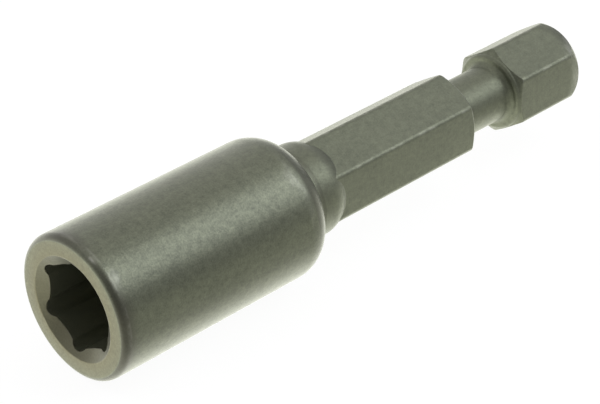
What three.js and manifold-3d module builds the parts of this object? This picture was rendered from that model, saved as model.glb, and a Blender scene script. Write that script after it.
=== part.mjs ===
// Nut setter: a round hex socket pressed on a quarter-inch hex drive shank, with a magnet inside.
// Lengths are in millimetres and angles in degrees. The tool lies on its barrel, +Z up, with its
// socket towards -X and its shank towards +X. The origin is on the floor, under mid-length.

import * as THREE from "three";
import { mergeVertices } from "three/addons/utils/BufferGeometryUtils.js";
import Module from "manifold-3d";

// Overall lengths
const overallLength = 50;
const barrelLength = 20;

// Hex socket in the front of the barrel
const nutAcrossFlats = 6;
const nutClearance = 0.24;
const socketDepth = 8;
const cornerReliefRadius = 0.74;
const cornerReliefSetback = 0.7;
const socketTurn = 2;

// Mouth and outside of the barrel
const countersinkWidth = 0.92;
const countersinkHalfAngle = 56;
const rimWidth = 1.16;
const frontEdgeRise = 0.35;
const frontEdgeRun = 0.35;
const rearEdgeRise = 1.8;
const rearEdgeRun = 1.8;

// Collar and hex of the shank
const hexAcrossFlats = 6.35;
const shankTurn = -4.7;
const collarLength = 3.43;
const collarOverCorners = 0.04;
const collarRearRound = 2.4;
const collarRootSink = 0.1;

// Press stub of the shank, inside the barrel
const stubStep = 0.7;
const stubChamfer = 0.5;
const pressClearance = 0.03;
const seatClearance = 0.02;

// Ball groove
const neckDiameter = 4.6;
const grooveLength = 5.05;
const grooveEdgeRun = 0.35;
const grooveFilletRadius = 0.3;

// Hex head behind the groove
const headLength = 7.5;
const headFilletRun = 0.5;
const headFilletShare = 0.6;
const headEdgeRun = 0.3;
const headEdgeSink = 0.05;
const headCornerRun = 0.35;
const endFaceDiameter = 5.34;
const endDomeLength = 2.2;
const endDomeOverCorners = 0.1;

// Magnet, its bush and its retaining ring
const magnetDiameter = 4;
const magnetLength = 3;
const magnetEdgeChamfer = 0.15;
const magnetClearance = 0.03;
const bushWall = 0.55;
const bushClearance = 0.03;
const boreLip = 0.4;
const ringThickness = 0.55;
const ringReachInward = 0.35;
const ringReachOutward = 0.3;
const ringClearance = 0.03;
const ringGapAngle = 50;

// Fineness of the round surfaces
const turnSegments = 64;
const arcSteps = 6;
const reliefSteps = 8;

// Room that a cutting or limiting body keeps beyond the surface it works on
const cutOverrun = 1;

// Points closer than this are one corner of a mesh
const weldTolerance = 1e-4;

// Sizes that follow from those above
const radians = THREE.MathUtils.degToRad;
const sixth = Math.PI / 3;

const socketInradius = (nutAcrossFlats + nutClearance) / 2;
const countersinkRadius = socketInradius + countersinkWidth;
const barrelRadius = countersinkRadius + rimWidth + frontEdgeRise;

const hexInradius = hexAcrossFlats / 2;
const hexCornerRadius = hexInradius / Math.cos(sixth / 2);
const collarRadius = hexCornerRadius + collarOverCorners;
const stubRadius = collarRadius - stubStep;
const stubBoreRadius = stubRadius + pressClearance;

const magnetRadius = magnetDiameter / 2;
const bushInnerRadius = magnetRadius + magnetClearance;
const bushOuterRadius = bushInnerRadius + bushWall;
const magnetBoreRadius = bushOuterRadius + bushClearance;
const ringGrooveRadius = magnetBoreRadius + ringReachOutward;
const ringOuterRadius = ringGrooveRadius - ringClearance;
const ringInnerRadius = magnetBoreRadius - ringReachInward;

// Stations along the tool, from the socket's front face
const ringGrooveStart = socketDepth + boreLip;
const ringStart = ringGrooveStart + ringClearance;
const ringEnd = ringStart + ringThickness;
const ringGrooveEnd = ringEnd + ringClearance;
const magnetStart = ringGrooveEnd + seatClearance;
const magnetEnd = magnetStart + magnetLength;
const stubEnd = magnetEnd + seatClearance;
const collarStart = barrelLength + seatClearance;
const collarEnd = barrelLength + collarLength;
const headStart = overallLength - headLength;
const grooveStart = headStart - grooveLength;
const headEdgeEnd = headStart + headEdgeRun;
const endDomeStart = overallLength - endDomeLength;

// Closed meshes, as solids that can be cut and joined
const wasm = await Module();
wasm.setup();

function solidOf(geometry) {
  const bare = geometry.clone();
  bare.deleteAttribute("normal");
  bare.deleteAttribute("uv");
  const merged = mergeVertices(bare, weldTolerance);
  const mesh = new wasm.Mesh({
    numProp: 3,
    vertProperties: merged.attributes.position.array,
    triVerts: new Uint32Array(merged.index.array),
  });
  return new wasm.Manifold(mesh);
}

function geometryOf(solid) {
  const mesh = solid.getMesh();
  const geometry = new THREE.BufferGeometry();
  geometry.setAttribute("position", new THREE.BufferAttribute(mesh.vertProperties, 3));
  geometry.setIndex(new THREE.BufferAttribute(mesh.triVerts, 1));
  geometry.computeVertexNormals();
  return geometry;
}

// A profile is a list of [station, radius] points, turned about the tool's axis
function turned(profile) {
  const points = profile.map(([station, radius]) => new THREE.Vector2(radius, station));
  return new THREE.LatheGeometry(points, turnSegments).rotateX(Math.PI / 2);
}

// A quarter ellipse between two profile points, leaving the first one along the tool's axis
function quarterRound([startStation, startRadius], [endStation, endRadius]) {
  const points = [];
  for (let step = 0; step <= arcSteps; step += 1) {
    const angle = ((Math.PI / 2) * step) / arcSteps;
    points.push([
      startStation + (endStation - startStation) * Math.sin(angle),
      endRadius + (startRadius - endRadius) * Math.cos(angle),
    ]);
  }
  return points;
}

function prism(shape, start, end) {
  const settings = { depth: end - start, bevelEnabled: false, curveSegments: reliefSteps };
  return new THREE.ExtrudeGeometry(shape, settings).translate(0, 0, start);
}

// Angles about the axis are counted from straight up, which is the tool's own -X before it is laid down
function cornerAngle(corner, turn) {
  return Math.PI + radians(turn) + corner * sixth;
}

function hexShape() {
  const shape = new THREE.Shape();
  for (let corner = 0; corner < 6; corner += 1) {
    const angle = cornerAngle(corner, shankTurn);
    const x = hexCornerRadius * Math.cos(angle);
    const y = hexCornerRadius * Math.sin(angle);
    if (corner === 0) shape.moveTo(x, y);
    else shape.lineTo(x, y);
  }
  shape.closePath();
  return shape;
}

// Hex with a round relief in each corner: flats joined by arcs that reach past the sharp corner
function socketShape() {
  const reliefCentre = socketInradius / Math.cos(sixth / 2) - cornerReliefSetback;
  const toFlat = cornerReliefSetback * Math.cos(sixth / 2);
  const halfSweep = sixth / 2 + Math.acos(Math.min(1, toFlat / cornerReliefRadius));
  const shape = new THREE.Shape();
  for (let corner = 0; corner < 6; corner += 1) {
    const angle = cornerAngle(corner, socketTurn);
    const x = reliefCentre * Math.cos(angle);
    const y = reliefCentre * Math.sin(angle);
    shape.absarc(x, y, cornerReliefRadius, angle - halfSweep, angle + halfSweep, false);
  }
  shape.closePath();
  return shape;
}

// Socket barrel: turned sleeve with a bore for the magnet, a bore for the stub and a hex socket
function makeBarrel() {
  const rearRise = Math.min(rearEdgeRise, barrelRadius - collarRadius);
  const coneSlope = Math.tan(radians(countersinkHalfAngle));
  const coneEnd = (countersinkRadius - magnetBoreRadius) / coneSlope;
  const frontRound = quarterRound(
    [frontEdgeRun, barrelRadius],
    [0, barrelRadius - frontEdgeRise],
  ).reverse();
  const rearShoulder = quarterRound(
    [barrelLength - rearEdgeRun, barrelRadius],
    [barrelLength, barrelRadius - rearRise],
  );
  const profile = [
    [coneEnd, magnetBoreRadius],
    [0, countersinkRadius],
    ...frontRound,
    ...rearShoulder,
    [barrelLength, stubBoreRadius],
    [stubEnd, stubBoreRadius],
    [stubEnd, magnetBoreRadius],
    [ringGrooveEnd, magnetBoreRadius],
    [ringGrooveEnd, ringGrooveRadius],
    [ringGrooveStart, ringGrooveRadius],
    [ringGrooveStart, magnetBoreRadius],
    [coneEnd, magnetBoreRadius],
  ];
  const socket = solidOf(prism(socketShape(), -cutOverrun, socketDepth));
  return geometryOf(solidOf(turned(profile)).subtract(socket));
}

// Drive shank: hex bar trimmed to its groove and head by a turned outline, joined to collar and stub
function makeShank() {
  const neckRadius = neckDiameter / 2;
  const beyondCorners = hexCornerRadius + cutOverrun;
  const edgeExtension = (beyondCorners - hexInradius) / (hexCornerRadius - hexInradius);
  const barStart = (collarStart + collarEnd) / 2;
  const headRadius = hexInradius - headEdgeSink;
  const headWall = [headStart, THREE.MathUtils.lerp(neckRadius, headRadius, headFilletShare)];
  const headExtension = (beyondCorners - headRadius) / (hexCornerRadius - headRadius);

  const trim = [
    [collarStart, 0],
    [collarStart, beyondCorners],
    [grooveStart - grooveEdgeRun * edgeExtension, beyondCorners],
    [grooveStart, hexInradius],
    [grooveStart, neckRadius + grooveFilletRadius],
    ...quarterRound(
      [grooveStart + grooveFilletRadius, neckRadius],
      [grooveStart, neckRadius + grooveFilletRadius],
    )
      .reverse()
      .slice(1),
    ...quarterRound([headStart - headFilletRun, neckRadius], headWall),
    ...quarterRound([headEdgeEnd, headRadius], headWall)
      .reverse()
      .slice(1),
    [headEdgeEnd + headCornerRun * headExtension, beyondCorners],
    [endDomeStart, beyondCorners],
    ...quarterRound(
      [endDomeStart, hexCornerRadius + endDomeOverCorners],
      [overallLength, endFaceDiameter / 2],
    ),
    [overallLength, 0],
  ];
  const hexBar = solidOf(prism(hexShape(), barStart, overallLength + cutOverrun));
  const driveEnd = hexBar.intersect(solidOf(turned(trim)));

  const collar = [
    [stubEnd, 0],
    [stubEnd, stubRadius - stubChamfer],
    [stubEnd + stubChamfer, stubRadius],
    [collarStart, stubRadius],
    [collarStart, collarRadius],
    ...collarRearEdge(),
    [collarEnd, 0],
  ];
  return geometryOf(driveEnd.add(solidOf(turned(collar))));
}

// Round that brings the collar's rear edge down to the hex, ending just under the middle of each flat
function collarRearEdge() {
  const drop = collarRadius - hexInradius + collarRootSink;
  const sweep = Math.acos(THREE.MathUtils.clamp(1 - drop / collarRearRound, 0, 1));
  const roundStart = collarEnd - collarRearRound * Math.sin(sweep);
  const points = [];
  for (let step = 0; step <= arcSteps; step += 1) {
    const angle = (sweep * step) / arcSteps;
    points.push([
      roundStart + collarRearRound * Math.sin(angle),
      collarRadius - collarRearRound * (1 - Math.cos(angle)),
    ]);
  }
  return points;
}

// Magnet: a disc with chamfered edges, against the end of the stub
function makeMagnet() {
  return turned([
    [magnetStart, 0],
    [magnetStart, magnetRadius - magnetEdgeChamfer],
    [magnetStart + magnetEdgeChamfer, magnetRadius],
    [magnetEnd - magnetEdgeChamfer, magnetRadius],
    [magnetEnd, magnetRadius - magnetEdgeChamfer],
    [magnetEnd, 0],
  ]);
}

function makeBush() {
  return turned([
    [magnetStart, bushInnerRadius],
    [magnetStart, bushOuterRadius],
    [magnetEnd, bushOuterRadius],
    [magnetEnd, bushInnerRadius],
    [magnetStart, bushInnerRadius],
  ]);
}

// Split ring: a flat wire bent to an open circle, with its gap at the top
function makeRing() {
  const gapHalf = radians(ringGapAngle) / 2;
  const first = Math.PI + gapHalf;
  const last = 3 * Math.PI - gapHalf;
  const shape = new THREE.Shape();
  shape.absarc(0, 0, ringOuterRadius, first, last, false);
  shape.absarc(0, 0, ringInnerRadius, last, first, true);
  shape.closePath();
  const settings = { depth: ringThickness, bevelEnabled: false, curveSegments: turnSegments };
  return new THREE.ExtrudeGeometry(shape, settings).translate(0, 0, ringStart);
}

// Materials
const phosphatedSteel = { color: 0x6f7266, roughness: 0.5, metalness: 0.75 };
const nickelPlate = { color: 0xb9b8b2, roughness: 0.3, metalness: 1 };
const plainBrass = { color: 0xb08d4a, roughness: 0.4, metalness: 1 };
const springSteel = { color: 0x4c4c4a, roughness: 0.45, metalness: 0.9 };

// Assembly: the pieces share the tool's axis, and the tool is laid along X on its barrel
const tool = new THREE.Group();
tool.rotation.y = Math.PI / 2;
tool.position.set(-overallLength / 2, 0, barrelRadius);

function addPiece(name, geometry, finish) {
  const piece = new THREE.Mesh(geometry, new THREE.MeshStandardMaterial(finish));
  piece.name = name;
  tool.add(piece);
}

addPiece("socket_barrel", makeBarrel(), phosphatedSteel);
addPiece("drive_shank", makeShank(), phosphatedSteel);
addPiece("magnet", makeMagnet(), nickelPlate);
addPiece("magnet_bush", makeBush(), plainBrass);
addPiece("retaining_ring", makeRing(), springSteel);

const nutSetter = new THREE.Group();
nutSetter.add(tool);

export default nutSetter;
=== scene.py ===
import math

import bmesh
import bpy
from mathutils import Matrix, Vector


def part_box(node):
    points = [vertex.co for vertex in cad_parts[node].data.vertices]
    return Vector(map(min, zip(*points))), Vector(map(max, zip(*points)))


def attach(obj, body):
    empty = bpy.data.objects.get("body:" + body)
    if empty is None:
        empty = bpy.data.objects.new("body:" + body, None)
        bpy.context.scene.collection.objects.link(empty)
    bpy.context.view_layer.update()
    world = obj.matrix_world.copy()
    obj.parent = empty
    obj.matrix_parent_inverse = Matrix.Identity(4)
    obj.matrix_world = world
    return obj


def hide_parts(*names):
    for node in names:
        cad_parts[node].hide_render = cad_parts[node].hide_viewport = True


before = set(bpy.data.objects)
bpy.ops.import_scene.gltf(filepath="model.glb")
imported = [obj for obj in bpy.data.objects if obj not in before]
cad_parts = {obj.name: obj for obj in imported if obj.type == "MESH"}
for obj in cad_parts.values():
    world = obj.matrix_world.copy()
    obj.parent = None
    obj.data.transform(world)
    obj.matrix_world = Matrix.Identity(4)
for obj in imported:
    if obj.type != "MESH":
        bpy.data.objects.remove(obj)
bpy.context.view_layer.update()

mm = 0.001
barrelLow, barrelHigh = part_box("socket_barrel")
shankLow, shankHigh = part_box("drive_shank")
magnetLow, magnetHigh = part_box("magnet")
bushLow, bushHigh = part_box("magnet_bush")
ringLow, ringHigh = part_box("retaining_ring")
frontX = barrelLow.x  # the socket's front face, from which stations are counted
axisZ = (barrelLow.z + barrelHigh.z) / 2


def stationOf(corner):
    return (corner.x - frontX) / mm


def radiusOf(low, high):
    return (high.y - low.y) / 2 / mm


barrelRadius = radiusOf(barrelLow, barrelHigh)
barrelLength = stationOf(barrelHigh)
collarRadius = radiusOf(shankLow, shankHigh)
stubEnd = stationOf(shankLow)
overallLength = stationOf(shankHigh)
print("frame loaded:", ", ".join(sorted(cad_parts)))


# shader wiring

class Wire:
    # one node's output: sums and products of wires add their own Math nodes
    def __init__(self, board, socket):
        self.board = board
        self.socket = socket

    def math(self, operation, first, second):
        return self.board.add("ShaderNodeMath", {"operation": operation}, {0: first, 1: second})

    def __add__(self, other):
        return self.math("ADD", self, other)

    def __radd__(self, other):
        return self.math("ADD", other, self)

    def __sub__(self, other):
        return self.math("SUBTRACT", self, other)

    def __rsub__(self, other):
        return self.math("SUBTRACT", other, self)

    def __mul__(self, other):
        return self.math("MULTIPLY", self, other)

    def __rmul__(self, other):
        return self.math("MULTIPLY", other, self)


class Board:
    # one material's or world's node tree
    def __init__(self, owner):
        owner.use_nodes = True
        self.tree = owner.node_tree
        self.tree.nodes.clear()

    def add(self, kind, settings=None, inputs=None, out=0):
        node = self.tree.nodes.new(kind)
        for key, value in (settings or {}).items():
            if key == "stops":
                self.setStops(node.color_ramp, value)
            else:
                setattr(node, key, value)
        for key, value in (inputs or {}).items():
            if isinstance(value, Wire):
                self.tree.links.new(value.socket, node.inputs[key])
            else:
                node.inputs[key].default_value = value
        return Wire(self, node.outputs[out]) if len(node.outputs) else node

    def setStops(self, ramp, stops):
        while len(ramp.elements) < len(stops):
            ramp.elements.new(1.0)
        for element, (place, level) in zip(ramp.elements, stops):
            element.position = place
            element.color = (level, level, level, 1)

    def tint(self, share, first, second):
        settings = {"data_type": "RGBA", "blend_type": "MIX"}
        return self.add("ShaderNodeMix", settings, {0: share, 6: first, 7: second}, out=2)

    def ramp(self, value, low, high):
        return self.add("ShaderNodeValToRGB", {"stops": [(low, 0.0), (high, 1.0)]}, {0: value})

    def stretched(self, size):
        place = self.add("ShaderNodeTexCoord", out="Object")
        inputs = {0: place, 1: tuple(1 / (side * mm) for side in size)}
        return self.add("ShaderNodeVectorMath", {"operation": "MULTIPLY"}, inputs)

    def noise(self, size, detail, roughness=0.55):
        inputs = {"Vector": self.stretched(size), "Scale": 1.0, "Detail": detail, "Roughness": roughness}
        return self.add("ShaderNodeTexNoise", {}, inputs)

    def along(self, direction, axis):
        settings = {"operation": "DOT_PRODUCT"}
        return self.add("ShaderNodeVectorMath", settings, {0: direction, 1: axis}, out="Value")

    def rayIs(self, kind):
        return self.add("ShaderNodeLightPath", out=f"Is {kind} Ray")

    def glow(self, strength, color=(1, 1, 1, 1)):
        return self.add("ShaderNodeEmission", {}, {"Color": color, "Strength": strength})

    def mix(self, share, first, second):
        return self.add("ShaderNodeMixShader", {}, {0: share, 1: first, 2: second})

    def painted(self, name):
        return self.add("ShaderNodeAttribute", {"attribute_name": name}, out="Fac")


def rgb(red, green, blue):
    # a colour as it is read off a screen, in steps of 255
    levels = [step / 255 for step in (red, green, blue)]
    return tuple(((level + 0.055) / 1.055) ** 2.4 for level in levels) + (1.0,)


# mesh making: each piece is turned about the tool's axis from a path that may change with the angle

turning = {
    "edgeSteps": 4,
    "longestEdge": 0.4,  # an edge takes at most this share of the lines beside it
    "guard": 1.2,  # keeps the flats beside an edge flat in shading
    "wearFrom": 0.15,
    "wearSpan": 0.7,
    "weld": 1e-5 * mm,
}


def soften(corners):
    # corners are (station, radius, edge, wear): each edge becomes a short curve between two guard points
    steps = turning["edgeSteps"]
    points = []
    for i, (station, radius, edge, wear) in enumerate(corners):
        here = Vector((station, radius))
        if edge == 0 or i == 0 or i == len(corners) - 1:
            points.append((station, radius, wear))
            continue
        back = Vector(corners[i - 1][:2]) - here
        ahead = Vector(corners[i + 1][:2]) - here
        reach = min(edge, turning["longestEdge"] * back.length, turning["longestEdge"] * ahead.length)
        back.normalize()
        ahead.normalize()
        points.append((*(here + back * reach * turning["guard"]), 0.0))
        for step in range(steps + 1):
            share = step / steps
            bend = here + back * reach * (1 - share) ** 2 + ahead * reach * share ** 2
            swing = math.pi * (turning["wearFrom"] + turning["wearSpan"] * share)
            points.append((*bend, wear * math.sin(swing)))
        points.append((*(here + ahead * reach * turning["guard"]), 0.0))
    return points


def between(first, last, count):
    return [first + (last - first) * i / count for i in range(1, count)]


def quarter(first, last, steps):
    # a quarter ellipse that leaves its first point along the axis
    points = []
    for i in range(steps + 1):
        swing = math.pi / 2 * i / steps
        station = first[0] + (last[0] - first[0]) * math.sin(swing)
        points.append((station, last[1] + (first[1] - last[1]) * math.cos(swing)))
    return points


def spin(name, angles, pathAt, loop, masks=()):
    # rows of points round the axis: loop joins the path's two ends, or else they lie on the axis
    mesh = bpy.data.meshes.new(name)
    work = bmesh.new()
    layers = {mask: work.verts.layers.float.new(mask) for mask in masks}
    rings = []
    for angle in angles:
        ring = []
        for station, radius, *values in pathAt(angle):
            y = radius * mm * math.cos(angle)
            z = axisZ + radius * mm * math.sin(angle)
            vertex = work.verts.new((frontX + station * mm, y, z))
            for mask, value in zip(masks, values):
                vertex[layers[mask]] = value
            ring.append(vertex)
        rings.append(ring)
    count = len(rings[0])
    for i, ring in enumerate(rings):
        following = rings[(i + 1) % len(rings)]
        for j in range(count if loop else count - 1):
            k = (j + 1) % count
            work.faces.new((ring[j], ring[k], following[k], following[j]))
    bmesh.ops.remove_doubles(work, verts=work.verts[:], dist=turning["weld"])
    bmesh.ops.recalc_face_normals(work, faces=work.faces[:])
    for face in work.faces:
        face.smooth = True
    work.to_mesh(mesh)
    work.free()
    piece = bpy.data.objects.new(name, mesh)
    bpy.context.scene.collection.objects.link(piece)
    return piece


def dress(piece, node, material):
    piece.data.materials.append(material)
    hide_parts(node)
    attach(piece, "root")
    print(piece.name, "made with", len(piece.data.polygons), "faces")


sixth = math.pi / 3


def fromCorner(angle, turn):
    # how far an angle lies from the nearest corner of a hex whose first corner leans by turn
    lean = angle - math.pi / 2 - math.radians(turn)
    return (lean + sixth / 2) % sixth - sixth / 2


def hexAngles(turn, sweep, cornerSteps, flatSteps, guard=1.15):
    # angles round a hex: close together over each corner, even over each flat
    half = [sweep * (1 - i / cornerSteps) for i in range(cornerSteps)]
    edge = min(guard * sweep, sixth / 4)
    flat = [edge + (sixth / 2 - edge) * i / flatSteps for i in range(flatSteps)]
    offsets = [-a for a in reversed(flat)] + [-a for a in half] + [0.0] + half[::-1] + flat + [sixth / 2]
    start = math.pi / 2 + math.radians(turn)
    return [start + corner * sixth + offset for corner in range(6) for offset in offsets]


def leanOf(angle):
    return math.degrees(angle) % 360 - 90  # degrees from straight up, towards the near side


def nearSide(angle):
    return max(0.0, -math.cos(angle))


def underside(angle):
    return max(0.0, -math.sin(angle))


# sizes that the pieces share where they meet, in millimetres

fit = {
    "stubRadius": 3.0,
    "boreRadius": 3.04,
    "seatGap": 0.02,
    "clearance": 0.03,
}


# phosphate finish of the barrel and the shank, with the colours of painted shade, painted glints and painted
# light inside the socket: each noise is its size in millimetres and its detail

steel = {
    "dark": rgb(71, 75, 58),
    "light": rgb(115, 119, 98),
    "rim": rgb(115, 104, 76),
    # colour of worn edges, also painted glints at the rubbed spots
    "wearAndGlint": rgb(176, 176, 166),
    # lighter than the finish outside: painted light inside the socket
    "bore": rgb(130, 132, 114),
    "shade": rgb(50, 45, 32),
    "barrel": {"roughness": 0.41, "oilRoughness": 0.39, "tone": -0.76, "grainTone": 0.9, "mottleTone": 0.95},
    "shank": {"roughness": 0.46, "oilRoughness": 0.5, "tone": -0.43, "grainTone": 0.6, "mottleTone": 0.8},
    "cloudTone": 0.4,
    "latheTone": 0.25,
    "grain": ((0.13, 0.13, 0.13), 2.0),
    "mottle": ((0.5, 0.4, 0.4), 3.0),
    "cloud": ((6.0, 3.0, 3.0), 2.0),
    "lathe": ((0.06, 5.0, 5.0), 2.0),
    "chips": ((0.9, 1.6, 1.6), 3.0),
    "chipRange": (0.48, 0.62),
    "rimTint": 0.5,
    "evenWear": 0.25,
    "chippedWear": 1.5,
    "evenShade": 0.6,
    "mottledShade": 0.8,
    "metallic": 0.8,
    "oilFilm": 1.0,
    "rimDryness": 0.6,
    "grainShine": 0.25,
    "mottleShine": 0.1,
    "wornShine": 0.1,
    "grainHeight": 0.7,
    "mottleHeight": 0.6,
    "latheHeight": 0.15,
    "bumpStrength": 0.5,
    "bumpDepth": 0.03 * mm,
}


def makeSteel(name):
    gloss = steel[name]
    material = bpy.data.materials.new(name + "Steel")
    board = Board(material)
    grain = board.noise(*steel["grain"])
    mottle = board.noise(*steel["mottle"])
    cloud = board.noise(*steel["cloud"])
    lathe = board.noise(*steel["lathe"])
    chips = board.ramp(board.noise(*steel["chips"]), *steel["chipRange"])
    rim = board.painted("rim")
    bore = board.painted("bore")
    wear = board.painted("wear") * (steel["evenWear"] + steel["chippedWear"] * chips)
    shade = board.painted("shade") * (steel["evenShade"] + steel["mottledShade"] * mottle)
    tone = grain * gloss["grainTone"] + mottle * gloss["mottleTone"]
    tone = tone + cloud * steel["cloudTone"] + lathe * steel["latheTone"] + gloss["tone"]
    color = board.tint(tone, steel["dark"], steel["light"])
    color = board.tint(rim * steel["rimTint"], color, steel["rim"])
    # the socket's inside takes a lighter colour: painted light
    color = board.tint(bore, color, steel["bore"])
    color = board.tint(shade, color, steel["shade"])
    # edge wear lightens the colour; at the rubbed spots it is also a painted glint
    color = board.tint(wear, color, steel["wearAndGlint"])
    coat = steel["oilFilm"] * (1 - bore) * (1 - steel["rimDryness"] * rim)
    shine = steel["grainShine"] * (grain - 0.5) + steel["mottleShine"] * (mottle - 0.5)
    roughness = gloss["roughness"] - shine - wear * steel["wornShine"]
    height = grain * steel["grainHeight"] + mottle * steel["mottleHeight"] + lathe * steel["latheHeight"]
    normal = board.add("ShaderNodeBump", {}, {
        "Strength": steel["bumpStrength"],
        "Distance": steel["bumpDepth"],
        "Height": height,
    })
    shader = board.add("ShaderNodeBsdfPrincipled", {}, {
        "Base Color": color,
        "Metallic": steel["metallic"],
        "Roughness": roughness,
        "Normal": normal,
        "Coat Weight": coat,
        "Coat Roughness": gloss["oilRoughness"],
    })
    board.add("ShaderNodeOutputMaterial", {}, {"Surface": shader})
    return material


# plainer metals of the small pieces inside

innerMetals = {
    "nickel": {"color": rgb(196, 192, 182), "shade": rgb(150, 147, 138), "roughness": 0.28},
    "brass": {"color": rgb(186, 150, 84), "shade": rgb(140, 108, 56), "roughness": 0.35},
    "springSteel": {"color": rgb(84, 84, 82), "shade": rgb(52, 52, 52), "roughness": 0.4},
    "blotch": ((0.8, 0.8, 0.8), 4.0),
    "blotchRange": (0.35, 0.65),
    "grain": ((0.06, 0.06, 0.06), 2.0),
    "grainRoughness": 0.15,
    "bumpStrength": 0.3,
    "bumpDepth": 0.004 * mm,
}


def makeInnerMetal(name):
    values = innerMetals[name]
    material = bpy.data.materials.new(name)
    board = Board(material)
    blotch = board.ramp(board.noise(*innerMetals["blotch"]), *innerMetals["blotchRange"])
    grain = board.noise(*innerMetals["grain"])
    normal = board.add("ShaderNodeBump", {}, {
        "Strength": innerMetals["bumpStrength"],
        "Distance": innerMetals["bumpDepth"],
        "Height": grain,
    })
    shader = board.add("ShaderNodeBsdfPrincipled", {}, {
        "Base Color": board.tint(blotch, values["shade"], values["color"]),
        "Metallic": 1.0,
        "Roughness": values["roughness"] + innerMetals["grainRoughness"] * (grain - 0.5),
        "Normal": normal,
    })
    board.add("ShaderNodeOutputMaterial", {}, {"Surface": shader})
    return material


# socket barrel: its points carry the masks rim, wear (with painted glints), bore (with painted light) and
# shade

socket = {
    "turn": 2.0,
    "inradius": 3.12,
    "reliefCentre": 2.9027,
    "reliefRadius": 0.74,
    "reliefSteps": 12,
    "flatSteps": 14,
    "depth": 8.0,
    "bottomEdge": 0.1,
    "boreEdge": 0.05,
    "mouthRadius": 4.04,
    "mouthHalfAngle": 56.0,
    "mouthEdge": 0.06,
    "mouthWear": 0.08,
    "rimDepth": 0.02,  # points in front of this station count as rim
    "sinkTint": 0.7,
    "sinkWear": 0.06,
    "sinkShade": 0.4,
    "sinkNearShade": 0.2,
    "frontRoundRise": 0.48,
    "frontRoundRun": 0.6,
    "frontSteps": 12,
    "frontTint": 0.6,
    "frontWear": 0.12,
    "frontWearSteps": 4,
    "frontDark": (3, 10),  # the first and last darker step of the round
    "frontShade": 0.3,
    "frontUnderShade": 0.2,
    "rearRoundRise": 1.8,
    "rearRoundRun": 2.2,
    "rearSteps": 20,
    "rearWear": 0.06,
    "rearWearSteps": 3,
    "rearDark": (4, 12),
    "rearShade": 0.1,
    "rearNearShade": 0.35,
    "rearFaceGuard": 0.02,
    "rearFaceShade": 0.5,
    "rings": (0.15, 0.3, 0.45, 0.65, 0.9, 1.3),  # closer rows of points beside each round
    "plainSteps": 10,
}

# rubbed spots on the barrel's two edges, set where the lamp's highlight falls: real wear with painted
# glints; station, degrees from straight up, reach along and round, strength
wearAndGlintSpots = [
    (0.27, 21.5, 0.1, 8.5, 0.5),
    (0.95, 44.0, 0.25, 6.0, 0.18),
    (1.15, 37.0, 0.25, 2.5, 0.12),
    (17.5, 38.0, 0.4, 9.0, 0.1),
    (17.9, 55.0, 0.3, 8.0, 0.1),
]

# painted shade just behind the front round, standing in for the dark room reflected there, left out where
# the edge glints
frontShadeBand = {"strength": 0.75, "reach": 1.2, "gap": 32.0, "gapSpread": 24.0}


def reliefSweep():
    # the angle, from a corner, at which its round relief meets the flat
    toFlat = socket["inradius"] - socket["reliefCentre"] * math.cos(sixth / 2)
    along = sixth / 2 + math.acos(toFlat / socket["reliefRadius"])
    across = socket["reliefRadius"] * math.sin(along)
    return math.atan2(across, socket["reliefCentre"] + socket["reliefRadius"] * math.cos(along))


def roundedHexRadius(away, sweep, centre, radius, inradius):
    # radius of a hex whose corners are arcs, at an angle away from the nearest corner
    if away < sweep:
        chord = radius ** 2 - (centre * math.sin(away)) ** 2
        return centre * math.cos(away) + math.sqrt(max(0.0, chord))
    return inradius / math.cos(sixth / 2 - away)


def socketRadius(angle):
    away = abs(fromCorner(angle, socket["turn"]))
    arc = (socket["reliefCentre"], socket["reliefRadius"])
    return roundedHexRadius(away, reliefSweep(), *arc, socket["inradius"])


# the wear and painted glints of the rubbed spots at a point
def wearAndGlintAt(station, angle):
    wear = 0.0
    for middle, lean, reach, spread, strength in wearAndGlintSpots:
        away = leanOf(angle) - lean
        wear += strength * math.exp(-((station - middle) / reach) ** 2 - (away / spread) ** 2)
    return wear


# painted shade behind the front round, fading backwards and left out where the edge glints
def frontShadeBandAt(station, angle):
    away = leanOf(angle) - frontShadeBand["gap"]
    behind = max(0.0, station - socket["frontRoundRun"])
    fade = max(0.0, 1 - behind / frontShadeBand["reach"]) ** 2
    return frontShadeBand["strength"] * fade * (1 - math.exp(-(away / frontShadeBand["gapSpread"]) ** 2))


def rearRound(angle):
    start = (barrelLength - socket["rearRoundRun"], barrelRadius)
    end = (barrelLength, barrelRadius - socket["rearRoundRise"])
    first, last = socket["rearDark"]
    dark = socket["rearShade"] + socket["rearNearShade"] * nearSide(angle)
    points = []
    for i, place in enumerate(quarter(start, end, socket["rearSteps"])):
        wear = socket["rearWear"] * (i < socket["rearWearSteps"]) + wearAndGlintAt(place[0], angle)
        points.append((*place, 0, wear, 0, dark * (first <= i <= last)))
    points.append((barrelLength, end[1] - socket["rearFaceGuard"], 0, 0, 0, socket["rearFaceShade"]))
    return points[::-1]


def plainLength(angle):
    rear = [barrelLength - socket["rearRoundRun"] - step for step in socket["rings"]]
    front = [socket["frontRoundRun"] + step for step in reversed(socket["rings"])]
    stations = rear + between(rear[-1], front[0], socket["plainSteps"]) + front
    return [(x, barrelRadius, 0, wearAndGlintAt(x, angle), 0, frontShadeBandAt(x, angle)) for x in stations]


def frontRound(angle):
    start = (socket["frontRoundRun"], barrelRadius)
    end = (0.0, barrelRadius - socket["frontRoundRise"])
    steps = socket["frontSteps"]
    first, last = socket["frontDark"]
    dark = socket["frontShade"] + socket["frontUnderShade"] * underside(angle)
    points = []
    for i, place in enumerate(quarter(start, end, steps)):
        fade = max(0.0, math.cos(math.pi / 2 * i / socket["frontWearSteps"]))
        wear = socket["frontWear"] * fade + wearAndGlintAt(place[0], angle)
        shade = max(frontShadeBandAt(place[0], angle), dark * (i >= first)) * (i <= last)
        points.append((*place, socket["frontTint"] * (i == steps), wear, 0, shade))
    return points


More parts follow.
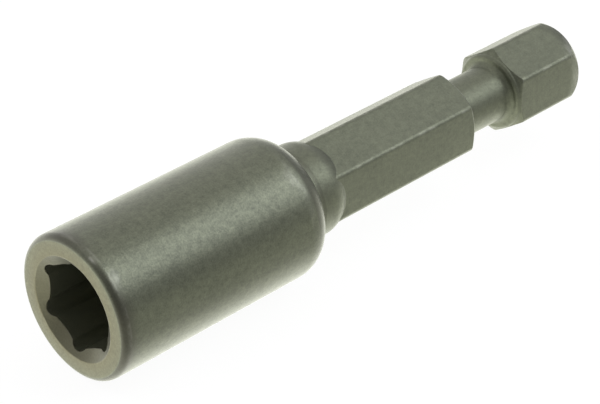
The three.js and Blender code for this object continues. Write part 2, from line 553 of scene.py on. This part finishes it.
def mouthAndBore(angle):
    wall = socketRadius(angle)
    slope = math.tan(math.radians(socket["mouthHalfAngle"]))
    mouthDepth = (socket["mouthRadius"] - wall) / slope
    edge = socket["mouthEdge"]
    bore = radiusOf(bushLow, bushHigh) + fit["clearance"]
    groove = radiusOf(ringLow, ringHigh) + fit["clearance"]
    grooveStart = stationOf(ringLow) - fit["clearance"]
    grooveEnd = stationOf(ringHigh) + fit["clearance"]
    mouth = [
        (0.0, barrelRadius - socket["frontRoundRise"], 0, 0),
        (0.0, socket["mouthRadius"], edge, socket["mouthWear"]),
        (mouthDepth, wall, edge, socket["sinkWear"]),
        (socket["depth"], wall, socket["bottomEdge"], 0),
        (socket["depth"], bore, socket["boreEdge"], 0),
        (grooveStart, bore, 0, 0),
    ]
    dark = socket["sinkShade"] + socket["sinkNearShade"] * nearSide(angle)
    points = []
    for station, radius, wear in soften(mouth)[1:]:
        onRim = station < socket["rimDepth"]
        inside = station > mouthDepth + edge
        onSink = not onRim and not inside
        points.append((station, radius, onRim + socket["sinkTint"] * onSink, wear, inside, dark * onSink))
    hidden = [(grooveStart, groove), (grooveEnd, groove), (grooveEnd, bore), (stubEnd, bore)]
    hidden += [(stubEnd, fit["boreRadius"]), (barrelLength, fit["boreRadius"])]
    return points + [(*place, 0, 0, 1, 0) for place in hidden]


def barrelPath(angle):
    return rearRound(angle) + plainLength(angle) + frontRound(angle) + mouthAndBore(angle)


def makeBarrel():
    angles = hexAngles(socket["turn"], reliefSweep(), socket["reliefSteps"], socket["flatSteps"])
    piece = spin("socketBarrel", angles, barrelPath, True, ("rim", "wear", "bore", "shade"))
    dress(piece, "socket_barrel", makeSteel("barrel"))


# drive shank: its points carry the masks wear and shade

shank = {
    "turn": -4.7,
    "inradius": 3.175,
    "cornerRound": 0.45,
    "cornerSteps": 6,
    "flatSteps": 12,
    "cornerWear": 0.15,
    "cornerWearReach": 0.8,
    "stubChamfer": 0.5,
    "stubEdge": 0.1,
    "collarEdge": 0.05,
    "collarWear": 0.1,
    "collarRoundStart": 21.81,
    "collarRound": 2.4,
    "collarSteps": 18,
    "creaseEdge": 0.06,
    "seam": 20.66,  # a fine ring line on the collar
    "seamWidth": 0.34,
    "seamDepth": 0.012,
    "seamEdge": 0.04,
    "seamShade": 0.34,
    "hexMargin": 0.4,
    "hexSteps": 10,
    "grooveStart": 37.45,
    "grooveEdgeRun": 0.35,
    "grooveEdgeSink": 0.12,
    "grooveEdge": 0.1,
    "grooveWear": 0.3,
    "grooveLip": 0.06,
    "grooveLipWear": 0.2,
    "grooveFillet": 0.3,
    "neckRadius": 2.3,
    "headStart": 42.5,
    "headFilletRun": 0.5,
    "headFilletShare": 0.6,
    "headEdgeRun": 0.3,
    "headCornerRun": 0.35,
    "headSink": 0.05,
    "headEdge": 0.08,
    "headWear": 0.15,
    "headMargin": 0.6,
    "headSteps": 6,
    "noseSteps": 8,
    "domeLength": 2.2,
    "domeOver": 0.1,
    "domeSteps": 16,
    "domeWear": 0.3,
    "endRadius": 2.67,
    "endRings": (0.97, 0.6, 0.25, 0.0),
}
hexCorner = shank["inradius"] / math.cos(sixth / 2)
roundCentre = (shank["inradius"] - shank["cornerRound"]) / math.cos(sixth / 2)


def cornerSweep():
    # the angle, from a corner, at which its round meets the flat
    across = shank["cornerRound"] * math.sin(sixth / 2)
    return math.atan2(across, roundCentre + shank["cornerRound"] * math.cos(sixth / 2))


def hexRadius(angle):
    away = abs(fromCorner(angle, shank["turn"]))
    return roundedHexRadius(away, cornerSweep(), roundCentre, shank["cornerRound"], shank["inradius"])


def collarCurve(share, flat):
    # over the collar's rear round, down to the hex surface at radius flat
    edge = shank["collarRound"]
    centre = collarRadius - edge
    swing = share * math.acos(min(1.0, (flat - centre) / edge))
    return shank["collarRoundStart"] + edge * math.sin(swing), centre + edge * math.cos(swing)


def stubAndCollar():
    seam, width, edge = shank["seam"], shank["seamWidth"], shank["seamEdge"]
    seamRadius = collarRadius - shank["seamDepth"]
    seat = barrelLength + fit["seatGap"]
    return soften([
        (stubEnd, 0.0, 0, 0),
        (stubEnd, fit["stubRadius"] - shank["stubChamfer"], shank["stubEdge"], 0),
        (stubEnd + shank["stubChamfer"], fit["stubRadius"], shank["stubEdge"], 0),
        (seat, fit["stubRadius"], 0, 0),
        (seat, collarRadius, shank["collarEdge"], shank["collarWear"]),
        (seam - width / 2, collarRadius, edge, 0),
        (seam - width / 4, seamRadius, edge, 0),
        (seam + width / 4, seamRadius, edge, 0),
        (seam + width / 2, collarRadius, edge, 0),
        (shank["collarRoundStart"], collarRadius, 0, 0),
    ])


def collarRunOut(flat, wear):
    # the collar's rear round, the crease where it meets the hex, and the hex's first row of points
    steps = shank["collarSteps"]
    points = [(*collarCurve(i / steps, flat), 0.0) for i in range(1, steps - 2)]
    runOut = collarCurve(1, flat)[0]
    return points + soften([
        (*collarCurve((steps - 2) / steps, flat), 0, 0),
        (runOut, flat, shank["creaseEdge"], 0),
        (runOut + shank["hexMargin"], flat, 0, wear),
    ])


def grooveAndHead(flat, wear):
    neck, start = shank["neckRadius"], shank["grooveStart"]
    lip = shank["inradius"] - shank["grooveEdgeSink"]
    edgeStart = start - shank["grooveEdgeRun"] * (flat - lip) / (hexCorner - lip)
    nose = shank["inradius"] - shank["headSink"]
    noseEnd = shank["headStart"] + shank["headEdgeRun"]
    headFull = noseEnd + shank["headCornerRun"] * (flat - nose) / (hexCorner - nose)
    wall = (shank["headStart"], neck + (nose - neck) * shank["headFilletShare"])
    fillet = quarter((shank["headStart"] - shank["headFilletRun"], neck), wall, shank["noseSteps"])
    edge = quarter((noseEnd, nose), wall, shank["noseSteps"])[-2::-1]
    groove = [
        (edgeStart - shank["hexMargin"], flat, 0, wear),
        (edgeStart, flat, shank["grooveEdge"], shank["grooveWear"]),
        (start, lip, shank["grooveLip"], shank["grooveLipWear"]),
        (start, neck, shank["grooveFillet"], 0),
    ]
    head = [
        (headFull, flat, shank["headEdge"], shank["headWear"]),
        (headFull + shank["headMargin"], flat, 0, wear),
    ]
    return soften(groove + [(*place, 0, 0) for place in fillet + edge] + head)


def domedEnd(flat):
    # the dome meets each flat further back than the corners
    start = overallLength - shank["domeLength"]
    end = shank["endRadius"]
    rise = hexCorner + shank["domeOver"] - end
    meet = math.acos(min(1.0, (flat - end) / rise))
    points = []
    for i in range(shank["domeSteps"] + 1):
        swing = meet + (math.pi / 2 - meet) * i / shank["domeSteps"]
        place = (start + shank["domeLength"] * math.sin(swing), end + rise * math.cos(swing))
        points.append((*place, shank["domeWear"] * (i == 0)))
    return points + [(overallLength, end * share, 0.0) for share in shank["endRings"]]


def seamShadeAt(station):
    return shank["seamShade"] * math.exp(-((station - shank["seam"]) / shank["seamWidth"] * 2) ** 2)


def shankPath(angle):
    flat = hexRadius(angle)
    away = abs(fromCorner(angle, shank["turn"])) / (shank["cornerWearReach"] * cornerSweep())
    wear = shank["cornerWear"] * max(0.0, 1 - away)
    collar = collarRunOut(flat, wear)
    head = grooveAndHead(flat, wear)
    dome = domedEnd(flat)
    hexRows = between(collar[-1][0], head[0][0], shank["hexSteps"])
    headRows = between(head[-1][0], dome[0][0], shank["headSteps"])
    points = stubAndCollar() + collar + [(x, flat, wear) for x in hexRows]
    points += head + [(x, flat, wear) for x in headRows] + dome
    return [(*point, seamShadeAt(point[0])) for point in points]


def makeShank():
    angles = hexAngles(shank["turn"], cornerSweep(), shank["cornerSteps"], shank["flatSteps"])
    piece = spin("driveShank", angles, shankPath, False, ("wear", "shade"))
    dress(piece, "drive_shank", makeSteel("shank"))


# magnet, bush and split ring at the bottom of the socket

inner = {
    "angleSteps": 96,
    "magnetChamfer": 0.15,
    "magnetEdge": 0.05,
    "bushEdge": 0.06,
    "ringWidth": 0.62,
    "ringEdge": 0.12,
    "ringGap": 50.0,
}


def magnetPath():
    start, end, radius = stationOf(magnetLow), stationOf(magnetHigh), radiusOf(magnetLow, magnetHigh)
    chamfer, edge = inner["magnetChamfer"], inner["magnetEdge"]
    return soften([
        (start, 0.0, 0, 0),
        (start, radius - chamfer, edge, 0),
        (start + chamfer, radius, edge, 0),
        (end - chamfer, radius, edge, 0),
        (end, radius - chamfer, edge, 0),
        (end, 0.0, 0, 0),
    ])


def hollowPath(low, high, inside, edge):
    # a ring's section, from the middle of its bore and round to it again
    start, end, outside = stationOf(low), stationOf(high), radiusOf(low, high)
    middle = (start + end) / 2
    return soften([
        (middle, inside, 0, 0),
        (start, inside, edge, 0),
        (start, outside, edge, 0),
        (end, outside, edge, 0),
        (end, inside, edge, 0),
        (middle, inside, 0, 0),
    ])[:-1]


def openRing(piece, gap):
    # takes out the faces of a whole ring across its gap and closes the two ends
    work = bmesh.new()
    work.from_mesh(piece.data)
    half = math.radians(gap) / 2
    cut = []
    for face in work.faces:
        place = face.calc_center_median()
        lean = math.atan2(place.y, place.z - axisZ)
        if abs(lean) < half:
            cut.append(face)
    bmesh.ops.delete(work, geom=cut, context="FACES")
    bmesh.ops.holes_fill(work, edges=[edge for edge in work.edges if edge.is_boundary], sides=0)
    bmesh.ops.recalc_face_normals(work, faces=work.faces[:])
    work.to_mesh(piece.data)
    work.free()


def makeInnerPieces():
    angles = [2 * math.pi * i / inner["angleSteps"] for i in range(inner["angleSteps"])]
    magnetPoints = magnetPath()
    magnet = spin("magnet", angles, lambda angle: magnetPoints, False)
    dress(magnet, "magnet", makeInnerMetal("nickel"))
    bushInside = radiusOf(magnetLow, magnetHigh) + fit["clearance"]
    bushPoints = hollowPath(bushLow, bushHigh, bushInside, inner["bushEdge"])
    bush = spin("magnetBush", angles, lambda angle: bushPoints, True)
    dress(bush, "magnet_bush", makeInnerMetal("brass"))
    ringInside = radiusOf(ringLow, ringHigh) - inner["ringWidth"]
    ringPoints = hollowPath(ringLow, ringHigh, ringInside, inner["ringEdge"])
    ring = spin("retainingRing", angles, lambda angle: ringPoints, True)
    openRing(ring, inner["ringGap"])
    dress(ring, "retaining_ring", makeInnerMetal("springSteel"))


# camera, from the photograph's fitted viewpoint in millimetres

view = {
    "eye": (-102.27, -101.90, 96.26),
    "forward": (0.5854, 0.6027, -0.5423),
    "lens": 136.95,
    "sensorWidth": 36.0,
    "clip": (0.01, 20.0),
}


def makeCamera():
    data = bpy.data.cameras.new("camera")
    data.sensor_width = view["sensorWidth"]
    data.lens = view["lens"]
    data.clip_start, data.clip_end = view["clip"]
    camera = bpy.data.objects.new("camera", data)
    camera.location = Vector(view["eye"]) * mm
    camera.rotation_euler = Vector(view["forward"]).to_track_quat("-Z", "Y").to_euler()
    bpy.context.scene.collection.objects.link(camera)
    bpy.context.scene.camera = camera
    print("camera placed")


# white floor

ground = {
    "size": 6.0,
    "color": (0.9, 0.9, 0.9, 1),
    "ownGlow": 0.88,
    "glow": 1.07,
    "glowTint": (0.985, 1.0, 0.885, 1),
    "nearGlow": 1.8,
    "farGlow": 0.8,
    "nearFrom": -4.0 * mm,
    "farFrom": -10.0 * mm,
}


def makeFloor():
    half = ground["size"] / 2
    mesh = bpy.data.meshes.new("floor")
    corners = [(-half, -half, 0), (half, -half, 0), (half, half, 0), (-half, half, 0)]
    mesh.from_pydata(corners, [], [(0, 1, 2, 3)])
    floor = bpy.data.objects.new("floor", mesh)
    bpy.context.scene.collection.objects.link(floor)
    material = bpy.data.materials.new("floor")
    board = Board(material)
    lit = board.add("ShaderNodeBsdfDiffuse", {}, {"Color": ground["color"]})
    seen = board.rayIs("Camera") + board.rayIs("Transmission")
    bright = board.mix(seen * ground["ownGlow"], lit, board.glow(ground["glow"]))
    # in the metal's reflections the floor is dimmer towards the viewer
    place = board.add("ShaderNodeTexCoord", out="Object")
    depth = board.add("ShaderNodeSeparateXYZ", {}, {0: place}, out="Y")
    span = ground["farFrom"] - ground["nearFrom"]
    forward = board.ramp((depth - ground["nearFrom"]) * (1 / span), 0.0, 1.0)
    near = board.glow(ground["nearGlow"], ground["glowTint"])
    far = board.glow(ground["farGlow"], ground["glowTint"])
    shader = board.mix(board.rayIs("Glossy"), bright, board.mix(forward, near, far))
    board.add("ShaderNodeOutputMaterial", {}, {"Surface": shader})
    mesh.materials.append(material)
    print("floor laid")


# room and key lamp: each part of the room has a colour, an axis and the range over which it comes in

room = {
    "front": (0.4, 0.4, 0.4, 1),
    "back": (0.88, 0.88, 0.85, 1),
    "backAxis": (0.0, 0.75, 0.66),
    "backRange": (-0.34, 0.44),
    "side": (0.4, 0.4, 0.41, 1),
    "sideAxis": (1, 0, 0),
    "sideRange": (0.62, 0.9),
    "viewer": (0.28, 0.28, 0.28, 1),
    "viewerAxis": tuple(-step for step in view["forward"]),
    "viewerRange": (0.5, 0.95),
    "backdrop": (1, 1, 1, 1),
    "strength": 1.0,
}
key = {
    "direction": (0.585, -0.485, 0.651),
    "distance": 0.5,
    "size": 0.36,
    "power": 0.77,
    "color": (0.93, 0.97, 1.0),
}


def makeRoom():
    world = bpy.data.worlds.new("studio")
    bpy.context.scene.world = world
    board = Board(world)
    direction = board.add("ShaderNodeTexCoord", out="Generated")
    color = room["front"]
    for part in ("back", "side", "viewer"):
        low, high = room[part + "Range"]
        share = (board.along(direction, room[part + "Axis"]) - low) * (1 / (high - low))
        color = board.tint(board.ramp(share, 0.0, 1.0), color, room[part])
    color = board.tint(board.rayIs("Camera"), color, room["backdrop"])
    background = board.add("ShaderNodeBackground", {}, {"Color": color, "Strength": room["strength"]})
    board.add("ShaderNodeOutputWorld", {}, {"Surface": background})
    bpy.context.scene.view_settings.view_transform = "Standard"
    print("room set")


def makeKey():
    data = bpy.data.lights.new("key", "AREA")
    data.shape = "DISK"
    data.size = key["size"]
    data.energy = key["power"]
    data.color = key["color"]
    lamp = bpy.data.objects.new("key", data)
    direction = Vector(key["direction"])
    lamp.location = direction.normalized() * key["distance"] + Vector((0, 0, axisZ))
    lamp.rotation_euler = direction.to_track_quat("Z", "Y").to_euler()
    bpy.context.scene.collection.objects.link(lamp)
    print("key lamp hung")


makeCamera()
makeBarrel()
makeShank()
makeInnerPieces()
makeFloor()
makeRoom()
makeKey()
